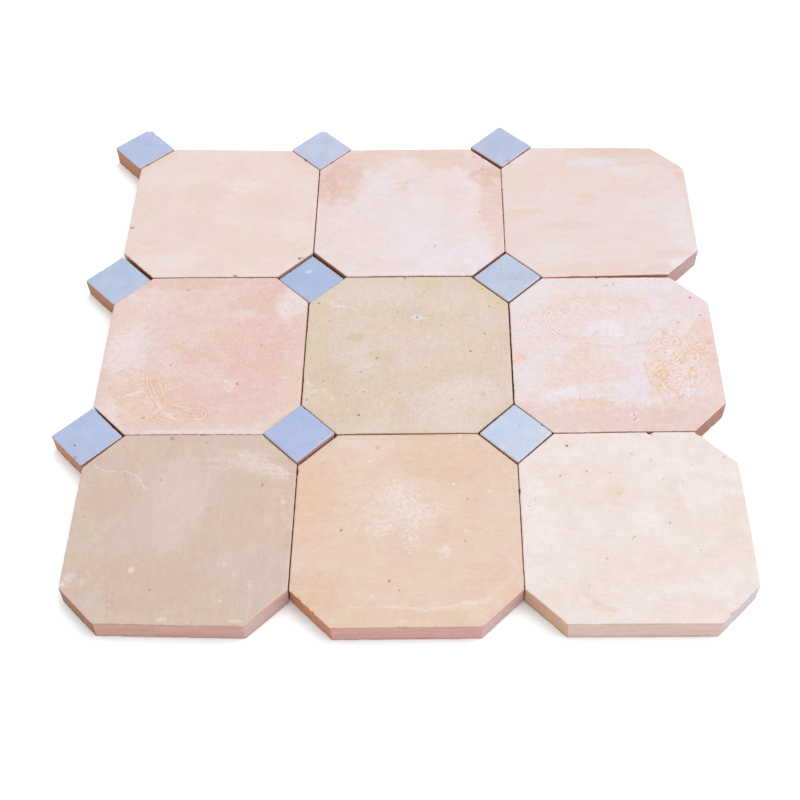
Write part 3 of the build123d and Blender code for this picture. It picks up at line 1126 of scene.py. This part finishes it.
# %% Front centre octagon
front_centre = {
    "grain": 0.9,
    "body": (232, 204, 184),
    "warm": (230, 196, 171),
    "cool": (234, 209, 195),
    "sides": {"front": (204, 153, 144), "left": (186, 114, 68), "right": (204, 164, 160)},
    "patches": [
        (-42, 13, 12, 24, 0, (233, 196, 168), 0.9),
        (-42, -34, 15, 12, -20, (230, 192, 166), 0.8),
        (0, 8, 20, 20, 0, (234, 210, 197), 0.7),
        (-20, 44, 14, 3.4, -4, (236, 214, 205), 0.8),
        (20, 39, 16, 8, 0, (233, 200, 176), 0.7),
        (3, 31, 6, 5, -20, (229, 194, 172), 0.6),
        (28, 7, 5, 8, 0, (232, 200, 176), 0.5),
        (44, -20, 6, 20, 0, (233, 202, 180), 0.6),
        (0, -46, 34, 5, 0, (231, 201, 175), 0.8),
        (-2, -9, 9, 10, 0, (229, 199, 183), 0.6),
        (42, 0, 8, 18, 0, (233, 206, 191), 0.6),
        (20, -22, 14, 8, 0, (233, 206, 190), 0.5),
        (-32, -8, 8, 14, 0, (232, 204, 187), 0.5),
        (31, -45, 5.4, 3.4, 20, (235, 209, 196), 0.6),
        (-2, -48.2, 2.8, 1.2, 0, (236, 214, 203), 0.7),
        (-31, -47.4, 2, 1.4, 0, (236, 214, 203), 0.6),
        (30, -38.6, 7, 1.4, 8, (239, 221, 212), 0.8),
        (24, 49, 0.7, 2, 0, (239, 224, 218), 0.8),
    ],
    "scuffs": [
        (-6, 8, 19, 15, 40, (241, 228, 222), 0.45),
        (-4, 16, 9, 8, -50, (242, 231, 227), 0.75),
        (3, 6, 9, 6, -35, (242, 232, 228), 0.8),
        (-10, -1, 7, 4, 25, (241, 230, 225), 0.7),
        (2, -7, 4, 7, 10, (240, 228, 224), 0.6),
        (17, -13, 4, 3, 50, (241, 229, 224), 0.8),
        (14, 8, 6, 4, 0, (240, 227, 221), 0.6),
        (24, -40, 14, 2.4, 6, (239, 221, 211), 0.6),
    ],
    "strokes": [
        (
            0.9,
            (241, 221, 210),
            0.62,
            [(-24, -41.2), (-12, -40.8), (0, -41.8), (10, -42), (18, -40.3), (30, -38.7), (36, -36)],
        ),
        (0.4, (242, 226, 218), 0.7, [(-8, -41), (0, -41.8), (10, -42), (18, -40.3), (28, -39)]),
        (0.7, (240, 220, 208), 0.5, [(36, -36), (38, -32.6), (43, -29), (47, -25)]),
    ],
    "pits": [
        (-29.0, -2.8, 0.75, (186, 142, 128)),
        (-7.4, -28.4, 1.0, (186, 146, 130)),
        (-3.1, -33.0, 0.6, (184, 144, 128)),
        (26.8, 13.8, 0.7, (208, 168, 150)),
        (25.4, -8.3, 0.4, (190, 150, 132)),
        (-14.0, 42.3, 1.0, (220, 186, 172)),
        (-38.6, 33.4, 0.4, (196, 158, 136)),
        (-27.8, 11.0, 0.4, (206, 170, 148)),
        (-17.2, 34.5, 0.9, (240, 228, 224)),
        (21.0, 21.8, 0.8, (240, 226, 220)),
        (18.0, -12.4, 1.1, (240, 226, 220)),
        (18.3, -15.0, 0.7, (240, 226, 220)),
        (26.0, -3.0, 1.1, (238, 220, 212)),
        (2.0, -7.4, 1.1, (239, 224, 220)),
        (-14.2, -36.0, 1.0, (240, 222, 214)),
        (37.2, 18.0, 0.9, (239, 220, 212)),
        (32.8, 18.2, 0.5, (239, 220, 212)),
    ],
    "nicks": [(22, -50.2, 1.4), (-6, -50.8, 1.0)],
}
count_marks("front centre", front_centre)

# %% [markdown]
# ## Ivory tile
# The palest tile, nearly even, with many small pits and one chip at the back edge. Its patches are faint,
# since the eye reads them only as a warm or a cool side.

# %% Front right octagon
front_right = {
    "grain": 0.8,
    "body": (241, 227, 222),
    "warm": (240, 220, 208),
    "cool": (243, 231, 230),
    "sides": {"front": (217, 184, 175), "left": (206, 159, 130), "right": (202, 184, 187)},
    "patches": [
        (5, 16, 26, 24, 0, (241, 225, 217), 0.5),
        (-7, 16, 4.6, 7, -20, (238, 215, 198), 0.8),
        (-35, 28, 8, 8, 0, (241, 224, 211), 0.7),
        (0, -20, 30, 12, 0, (240, 221, 212), 0.7),
        (20, -41, 20, 7, 0, (239, 220, 212), 0.7),
        (-20, -33, 9, 8, 0, (240, 218, 206), 0.6),
        (-19, -41, 8, 2.6, -20, (239, 214, 200), 0.6),
        (6, 5, 6, 6, 0, (243, 231, 230), 0.8),
        (46, 2, 5, 5, 0, (240, 219, 206), 0.6),
        (-41, 2, 7, 22, 0, (243, 232, 228), 0.7),
        (32, 28, 18, 18, 0, (242, 231, 228), 0.6),
        (-44, -28, 8, 6, 30, (243, 232, 230), 0.6),
        (33, -18, 7, 7, 0, (240, 220, 208), 0.5),
        (15, 9, 5, 5, 0, (241, 221, 210), 0.6),
        (12.2, 50.6, 1.7, 0.7, 0, (128, 92, 78), 1.0),
        (-40, -42, 12, 2, -45, (243, 230, 226), 0.5),
        (20, 14, 3, 8, 10, (240, 214, 198), 0.5),
        (-40, 40, 10, 8, 0, (243, 230, 227), 0.7),
        (-21, -38, 5, 1.6, -40, (237, 204, 184), 0.5),
        (-14, -42, 4, 1.2, -10, (237, 204, 186), 0.5),
    ],
    "scuffs": [
        (6, 4, 8, 8, 0, (245, 236, 236), 0.6),
        (-30, 36, 12, 5, 20, (244, 235, 233), 0.5),
        (26, -30, 12, 6, 30, (244, 234, 232), 0.5),
    ],
    "pits": [
        (-26.8, 42.8, 0.7, (152, 98, 88)),
        (-31.0, 26.0, 0.75, (208, 182, 168)),
        (-19.0, 28.4, 0.65, (204, 180, 170)),
        (-8.6, 27.5, 0.5, (208, 192, 186)),
        (15.1, 24.0, 0.6, (222, 200, 192)),
        (20.0, 22.3, 0.6, (228, 208, 204)),
        (23.6, 22.3, 0.6, (226, 206, 202)),
        (15.5, 0.4, 0.7, (196, 168, 158)),
        (-0.8, -6.6, 0.7, (214, 196, 186)),
        (-1.6, -7.4, 0.6, (220, 202, 192)),
        (-13.7, -17.7, 0.8, (228, 198, 182)),
        (27.0, -13.4, 0.7, (224, 208, 204)),
        (44.0, 36.2, 0.6, (218, 198, 184)),
        (-46.0, 9.5, 0.5, (206, 184, 180)),
        (-43.0, 13.0, 0.6, (230, 198, 192)),
        (2.3, 37.5, 1.0, (230, 206, 192)),
        (-19.3, 42.8, 0.8, (228, 218, 214)),
        (28.7, 31.8, 0.4, (228, 196, 180)),
        (36.0, -44.4, 0.8, (216, 182, 162)),
        (-5.6, 16.0, 1.2, (232, 207, 190)),
        (-10.6, 7.5, 0.4, (214, 196, 190)),
        (-22.3, -31.6, 0.6, (232, 204, 190)),
        (10.7, 35.0, 0.5, (224, 198, 190)),
        (12.8, 48.4, 0.5, (206, 186, 176)),
    ],
    "nicks": [(12.2, 50.6, 3.0), (38.4, -44.6, 1.6)],
}
count_marks("front right", front_right)

# %% [markdown]
# ## Shaping an octagon
# The real tile is cut from a slab and its sides are rubbed on a stone, which leaves soft edges, small chips
# along the face and a crumbled bed. A copy of the CAD solid has the right outline, so the work starts
# there. Its long thin triangles can't take detail, and a voxel remesh turns them into small even squares
# first.

# %% Helpers that shape
FINE = 0.0006
INSERT_FINE = 0.0005
WELD = 0.000002
DOWN = -0.99
BED_HEIGHT = 0.00002
CRUMBLED_RINGS = 3
WEIGHT_STEPS = 20


def copy_of(node, name, fine):
    """A copy of a CAD node under a new name, closed and made of small squares of this size."""
    only(frame["nodes"][node])
    bpy.ops.object.duplicate()
    piece = bpy.context.object
    piece.name = name
    piece.data.name = name
    piece.data.materials.clear()
    for key in list(piece.keys()):
        del piece[key]
    bpy.ops.object.parent_clear(type="CLEAR_KEEP_TRANSFORM")
    bpy.ops.object.mode_set(mode="EDIT")
    bpy.ops.mesh.select_all(action="SELECT")
    bpy.ops.mesh.remove_doubles(threshold=WELD)
    bpy.ops.object.mode_set(mode="OBJECT")
    squares = piece.modifiers.new("squares", "REMESH")
    squares.mode = "VOXEL"
    squares.voxel_size = fine
    bpy.ops.object.modifier_apply(modifier=squares.name)
    skin = piece.modifiers.new("skin", "SHRINKWRAP")
    skin.target = frame["nodes"][node]
    bpy.ops.object.modifier_apply(modifier=skin.name)
    return piece


def close_bed(piece):
    """Makes one face of the flat bed, apart from a rim that can crumble."""
    places, normals = points_of(piece)
    select_points(piece, (normals[:, 2] < DOWN) & (places[:, 2] < BED_HEIGHT))
    for _ in range(CRUMBLED_RINGS):
        bpy.ops.mesh.select_less()
    bpy.ops.mesh.dissolve_faces()
    bpy.ops.object.mode_set(mode="OBJECT")


def cloudy(name, size, start, end):
    """A cloudy pattern with lumps of this size, black up to start and white from end."""
    pattern = bpy.data.textures.new(name, "CLOUDS")
    pattern.noise_scale = size
    pattern.noise_depth = 2
    pattern.use_color_ramp = True
    pattern.color_ramp.elements[0].position = start
    pattern.color_ramp.elements[0].color = (0.0, 0.0, 0.0, 1.0)
    pattern.color_ramp.elements[1].position = end
    pattern.color_ramp.elements[1].color = (1.0, 1.0, 1.0, 1.0)
    return pattern


def weigh(piece, name, weights):
    """A vertex group that takes its weights from a list, rounded to even steps."""
    group = piece.vertex_groups.new(name=name)
    levels = np.round(np.clip(weights, 0, 1) * WEIGHT_STEPS).astype(int)
    for level in range(1, WEIGHT_STEPS + 1):
        group.add(np.nonzero(levels == level)[0].tolist(), level / WEIGHT_STEPS, "REPLACE")
    return group.name


def wear(piece, pattern, group, depth):
    """Pushes a piece's skin in by up to this depth, where the pattern is white and the group has weight."""
    only(piece)
    worn = piece.modifiers.new(pattern.name, "DISPLACE")
    worn.texture = pattern
    worn.texture_coords = "LOCAL"
    worn.vertex_group = group
    worn.mid_level = 0.0
    worn.strength = -depth
    bpy.ops.object.modifier_apply(modifier=worn.name)


def keep_inside(piece, node):
    """Brings back any point that has left the box of the CAD solid."""
    low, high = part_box(node)
    places, _ = points_of(piece)
    inside = np.clip(places, np.array(low), np.array(high)).astype(np.float32)
    piece.data.vertices.foreach_set("co", inside.ravel())
    piece.data.update()


print("squares in mm:", 1000 * FINE, "and", 1000 * INSERT_FINE)

# %% [markdown]
# ## Patterns of wear
# Wear comes in sizes: broad hollows in the face, chips and nibbles along its edge, crumbs along the bed,
# and the drag of the stone on the sides. Each is a cloudy pattern that pushes its own part of the skin in.
# Sculpting by hand would do as well, but a pattern comes out the same each time. Nothing is pushed
# outwards.

# %% Patterns of wear
HOLLOW_DEPTH = 0.00014
DRAG_DEPTH = 0.00022
CHIP_DEPTH = 0.0004
NIBBLE_DEPTH = CHIP_DEPTH * 0.25
ARRIS_TILT = (0.25, 0.93)
ARRIS_DEPTH = 0.003
BED_EDGE_HEIGHT = 0.0030
SIDE_BELOW_FACE = 0.0015
SIDE_FADE = 0.0025
hollows = cloudy("hollows", 0.028, 0.30, 0.75)
chips = cloudy("chips", 0.0032, 0.70, 0.82)
nibbles = cloudy("nibbles", 0.0012, 0.45, 0.80)
crumbs = cloudy("crumbs", 0.0046, 0.64, 0.80)
drag = cloudy("drag", 0.0075, 0.35, 0.75)


def shape_by_hand(piece, node, crumb_depth):
    """Chips the edge of the face, crumbles the bed and leaves the face and sides slightly uneven."""
    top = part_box(node)[1].z
    places, normals = points_of(piece)
    steep, level = ARRIS_TILT
    arris = (normals[:, 2] > steep) & (normals[:, 2] < level) & (places[:, 2] > top - ARRIS_DEPTH)
    select_points(piece, arris)
    face_edge = piece.vertex_groups.new(name="face_edge").name
    bpy.ops.mesh.select_more()
    bpy.ops.object.vertex_group_assign()
    bpy.ops.mesh.select_more()
    bpy.ops.mesh.select_more()
    bpy.ops.object.vertex_group_smooth(group_select_mode="ACTIVE", factor=0.6, repeat=3)
    bpy.ops.object.mode_set(mode="OBJECT")
    height = places[:, 2]
    bed_edge = weigh(piece, "bed_edge", np.where(normals[:, 2] < 0.5, 1 - height / BED_EDGE_HEIGHT, 0))
    below_face = (top - SIDE_BELOW_FACE - height) / SIDE_FADE
    side = weigh(piece, "sides", np.where(np.abs(normals[:, 2]) < 0.5, below_face, 0))
    face = weigh(piece, "face", np.where(normals[:, 2] > 0.5, 1.0, 0.0))
    wear(piece, hollows, face, HOLLOW_DEPTH)
    wear(piece, drag, side, DRAG_DEPTH)
    wear(piece, chips, face_edge, CHIP_DEPTH)
    wear(piece, nibbles, face_edge, NIBBLE_DEPTH)
    wear(piece, crumbs, bed_edge, crumb_depth)
    keep_inside(piece, node)


print("patterns of wear:", [pattern.name for pattern in (hollows, chips, nibbles, crumbs, drag)])

# %% [markdown]
# ## Pits and nicks
# A pit is pressed in with proportional editing: one point is moved and its neighbours follow less and less,
# as clay does under a fingertip. A nick on an edge is the same move, pushed inwards and down. A boolean cut
# could make them too, but its walls would be too clean for broken clay.

# %% Press
PIT_PUSH = 0.00035
PIT_REACH = 0.0012
PIT_MARGIN = 0.0004
NICK_PUSH = 0.00032
NICK_DROP = 0.00022
NICK_REACH = 0.00065


def press(piece, place, push, reach):
    """Moves the point nearest to a place by push, and its neighbours within reach along with it."""
    places, _ = points_of(piece)
    nearest = np.argmin(((places - np.array(place)) ** 2).sum(axis=1))
    chosen = np.zeros(len(places), bool)
    chosen[nearest] = True
    select_points(piece, chosen)
    bpy.ops.transform.translate(
        value=push,
        use_proportional_edit=True,
        proportional_edit_falloff="SMOOTH",
        proportional_size=reach,
        use_proportional_connected=False,
    )
    bpy.ops.object.mode_set(mode="OBJECT")


def spot(middle, top, x, y):
    """The point of a face at this many millimetres from the middle of the tile."""
    return (middle[0] + x / 1000, middle[1] + y / 1000, top)


def pit(piece, place, half_width):
    """Presses a pit into the face."""
    press(piece, place, (0, 0, -PIT_PUSH * half_width), PIT_REACH * half_width + PIT_MARGIN)


def nick(piece, middle, top, x, y, width):
    """Breaks a small piece off an edge, towards the middle of the tile and down."""
    inwards = -NICK_PUSH * width / math.hypot(x, y)
    push = (x * inwards, y * inwards, -NICK_DROP * width)
    press(piece, spot(middle, top, x, y), push, NICK_REACH * width)


print("pressing tools:", pit.__name__, "and", nick.__name__)

# %% [markdown]
# ## The nine octagons
# Every octagon goes through the same hands: it is copied, worn, given the dark pits and the nicks of its
# own list, and then its finish and smooth shading. It rides on the one body of the sheet and stands for its
# CAD node. Nine scripts could make nine tiles, but a maker has one way of working too.

# %% Octagons
PITCH = 0.100
DARK_PIT = 620
CRUMB_DEPTH = 0.0004
OCTAGONS = {
    "back_left": (-1, 1, back_left, "peach_clay"),
    "back_centre": (0, 1, back_centre, "rose_clay"),
    "back_right": (1, 1, back_right, "peach_clay"),
    "middle_left": (-1, 0, middle_left, "salmon_clay"),
    "centre": (0, 0, centre, "olive_clay"),
    "middle_right": (1, 0, middle_right, "rose_clay"),
    "front_left": (-1, -1, front_left, "fawn_clay"),
    "front_centre": (0, -1, front_centre, "apricot_clay"),
    "front_right": (1, -1, front_right, "ivory_clay"),
}
SMOOTH_UNDER = math.radians(50)


def cut(node, name, fine, crumb_depth):
    """Copies a CAD piece and wears it. Also gives the height of its face."""
    piece = copy_of(node, name, fine)
    close_bed(piece)
    shape_by_hand(piece, node, crumb_depth)
    return piece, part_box(node)[1].z


def hand_over(piece, node):
    """Shades a finished piece and lets it stand for its CAD node."""
    only(piece)
    piece.vertex_groups.clear()
    bpy.ops.object.shade_smooth_by_angle(angle=SMOOTH_UNDER)
    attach(piece, "root")
    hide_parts(node)


for name, (column, row, marks, slot) in OCTAGONS.items():
    node = f"octagon_{name}"
    middle = (column * PITCH, row * PITCH)
    piece, top = cut(node, f"tile_{name}", FINE, CRUMB_DEPTH)
    for x, y, half_width, tint in marks["pits"]:
        if sum(tint) < DARK_PIT:
            pit(piece, spot(middle, top, x, y), half_width)
    for x, y, width in marks.get("nicks", []):
        nick(piece, middle, top, x, y, width)
    piece.data.materials.append(clay(f"clay_{name}", middle, marks, 1000 * top))
    hand_over(piece, node)
    print(piece.name, "faces:", len(piece.data.polygons))

# %% [markdown]
# ## Blue glaze
# The inserts are dipped face down in a pale blue glaze and fired to a soft satin. The glaze is cloudy, with
# pinholes, and it thins at the edge of the face, where the clay shows through. The sides stay bare. Two
# materials with a hard line between them would be simpler, but glaze ends in a ragged line, so one finish
# blends the two.

# %% Blue glaze
GLAZE_RELIEF = 0.00015
GLAZE_COAT = 0.25
COAT_ROUGHNESS = 0.25
THIN_RIM = (206, 186, 190)


def glaze(name, middle, look, top):
    """The finish of one insert: cloudy blue on the face, bare clay on the sides."""
    finish = Finish(name, middle)
    body, pale, deep = (tone(*look[key]) for key in ("body", "pale", "deep"))
    cloud = finish.noise(9.0, detail=4.0, roughness=0.6)
    colour = finish.over(body, cloud, 0.48, 0.70, 0.8, pale)
    colour = finish.over(colour, cloud, 0.52, 0.32, 0.8, deep)
    mottle = finish.noise(2.4, detail=4.0, roughness=0.65)
    colour = finish.over(colour, mottle, 0.52, 0.72, 0.7, pale)
    colour = finish.over(colour, mottle, 0.48, 0.30, 0.7, deep)
    speckle = finish.noise(0.8, detail=3.0, roughness=0.75)
    colour = finish.over(colour, speckle, 0.54, 0.72, look["speckle"], pale)
    dark = finish.dimmed(colour, 0.84, 0.87, 0.91)
    colour = finish.over(colour, speckle, 0.42, 0.26, look["speckle"], dark)
    fray = finish.ramp(speckle, 0.25, 0.75, -FRAY, FRAY)
    colour = patches(finish, colour, fray, look["thin"])
    colour, depth = pits(finish, colour, fray, look["pits"])

    sides, normal, _ = side_colour_with_painted_light(finish, look["sides"], top)
    upright = finish.upwards(normal)
    rim = upright + (mottle - 0.5) * 0.04
    colour = finish.over(colour, rim, 0.975, 0.88, 0.55, tone(*THIN_RIM))
    glazed = finish.ramp(upright + (speckle - 0.5) * 0.4, 0.34, 0.64)
    finish.feed("Base Color", finish.mix(glazed, sides, colour))
    finish.feed("Roughness", finish.ramp(glazed, 0.0, 1.0, 0.65, 0.34))
    finish.feed("Coat Weight", glazed * GLAZE_COAT)
    finish.surface.inputs["Coat Roughness"].default_value = COAT_ROUGHNESS
    relief = cloud * 0.5 + mottle * 0.3 + speckle * 0.3 - depth
    finish.bumps(relief, strength=0.35, depth=GLAZE_RELIEF)
    return finish.material


print("tone of the thin rim:", THIN_RIM)

# %% [markdown]
# ## A note on each insert
# The inserts came out of one glaze bucket, but each has its own blue, its own flecks and its own tones on
# its clay sides, which hold painted light and shade by the way each side faces. Nine separate materials
# could be written out in full, and a short note on what differs says the same.

# %% Insert looks
def bare_sides(left):
    """The clay under an insert's glaze, with painted light and shade by the way each side faces. Most
    inserts differ only at their left sides.
    """
    return {"front": (176, 114, 86), "left": left, "right": (194, 146, 132)}


# Painted shade: the left sides are the darkest tones here.
RED_SIDES = bare_sides(left=(174, 112, 78))
BROWN_SIDES = bare_sides(left=(174, 106, 68))
ORANGE_SIDES = bare_sides(left=(182, 115, 73))
ROSE_SIDES = {"front": (196, 150, 140), "left": (184, 128, 110), "right": (206, 162, 154)}
ORANGE_CLAY = (214, 150, 118)
PINHOLE = (120, 128, 160)
PALE_FLECK = (222, 220, 228)


def look(body, speckle=0.35, sides=RED_SIDES, thin=(), pits=(), nicks=()):
    """An insert's tones around its body tone, its thin places, its pits and its nicks."""
    red, green, blue = body
    return {
        "body": body,
        "pale": (red + 8, green + 6, blue + 2),
        "deep": (red - 8, green - 6, blue - 2),
        "speckle": speckle,
        "sides": sides,
        "thin": thin,
        "pits": pits,
        "nicks": nicks,
    }


INSERTS = {
    "back_left": (
        -1,
        1,
        look(
            (180, 192, 226),
            pits=[(3, 4, 0.4, PINHOLE)],
            nicks=[(0.4, 17.8, 3.2), (5.0, 13.5, 2.0), (-17.0, 0.6, 1.8)],
        ),
    ),
    "back_centre": (
        0,
        1,
        look(
            (190, 198, 226),
            thin=[(-6, -5, 2.4, 1.0, -45, (208, 204, 220), 0.7)],
            pits=[(3, -2, 0.3, PINHOLE)],
            nicks=[(0.3, 15.8, 2.6), (3.0, -12.6, 1.6)],
        ),
    ),
    "back_right": (
        1,
        1,
        look((183, 193, 224), pits=[(3.5, -11.5, 1.1, ORANGE_CLAY), (1.0, 0.5, 0.5, PALE_FLECK)]),
    ),
    "middle_left": (
        -1,
        0,
        look((181, 196, 224), sides=BROWN_SIDES, pits=[(5, 3, 0.35, PINHOLE), (-4, -3, 0.3, PINHOLE)]),
    ),
    "middle_centre": (
        0,
        0,
        look(
            (170, 188, 224),
            thin=[(-2.3, 5.5, 2.0, 1.0, 20, PALE_FLECK, 0.8)],
            pits=[(11, 4, 0.8, ORANGE_CLAY), (-1.4, 5.0, 0.4, (236, 234, 236)), (-5, -2, 0.3, PINHOLE)],
        ),
    ),
    "middle_right": (
        1,
        0,
        look((188, 199, 223), pits=[(-3, 5, 0.4, PINHOLE), (4, -2, 0.35, PINHOLE), (1, -7, 0.3, PINHOLE)]),
    ),
    "front_left": (
        -1,
        -1,
        look(
            (178, 191, 226),
            sides=ORANGE_SIDES,
            pits=[(-5, -6, 0.6, (60, 62, 84)), (-3.7, -12.7, 1.2, ORANGE_CLAY)],
        ),
    ),
    "front_centre": (0, -1, look((174, 188, 228), sides=ROSE_SIDES, pits=[(-2, 3, 0.3, PINHOLE)])),
    "front_right": (1, -1, look((196, 208, 231), speckle=0.7, pits=[(2, 4, 0.35, PINHOLE)])),
}
print("insert looks:", len(INSERTS))

# %% [markdown]
# ## The nine inserts
# An insert is a small tile, cut and worn as the octagons are. So it goes through the same hands, with finer
# squares, shallower crumbs along its bed and a finish of its own. One insert could be copied nine times,
# but each has its own outline and stands at its own height.

# %% The nine inserts
SMALL_CRUMB_DEPTH = 0.0003

for name, (column, row, tones) in INSERTS.items():
    node = f"insert_{name}"
    middle = ((column - 0.5) * PITCH, (row + 0.5) * PITCH)
    piece, top = cut(node, f"square_{name}", INSERT_FINE, SMALL_CRUMB_DEPTH)
    for x, y, width in tones["nicks"]:
        nick(piece, middle, top, x, y, width)
    piece.data.materials.append(glaze(f"glaze_{name}", middle, tones, 1000 * top))
    hand_over(piece, node)
    print(piece.name, "faces:", len(piece.data.polygons))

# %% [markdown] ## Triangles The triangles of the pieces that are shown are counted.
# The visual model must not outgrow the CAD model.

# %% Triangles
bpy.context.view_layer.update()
triangles = sum(len(p.data.loop_triangles) or len(p.data.polygons) * 2 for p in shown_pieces())
print("triangles added:", triangles)
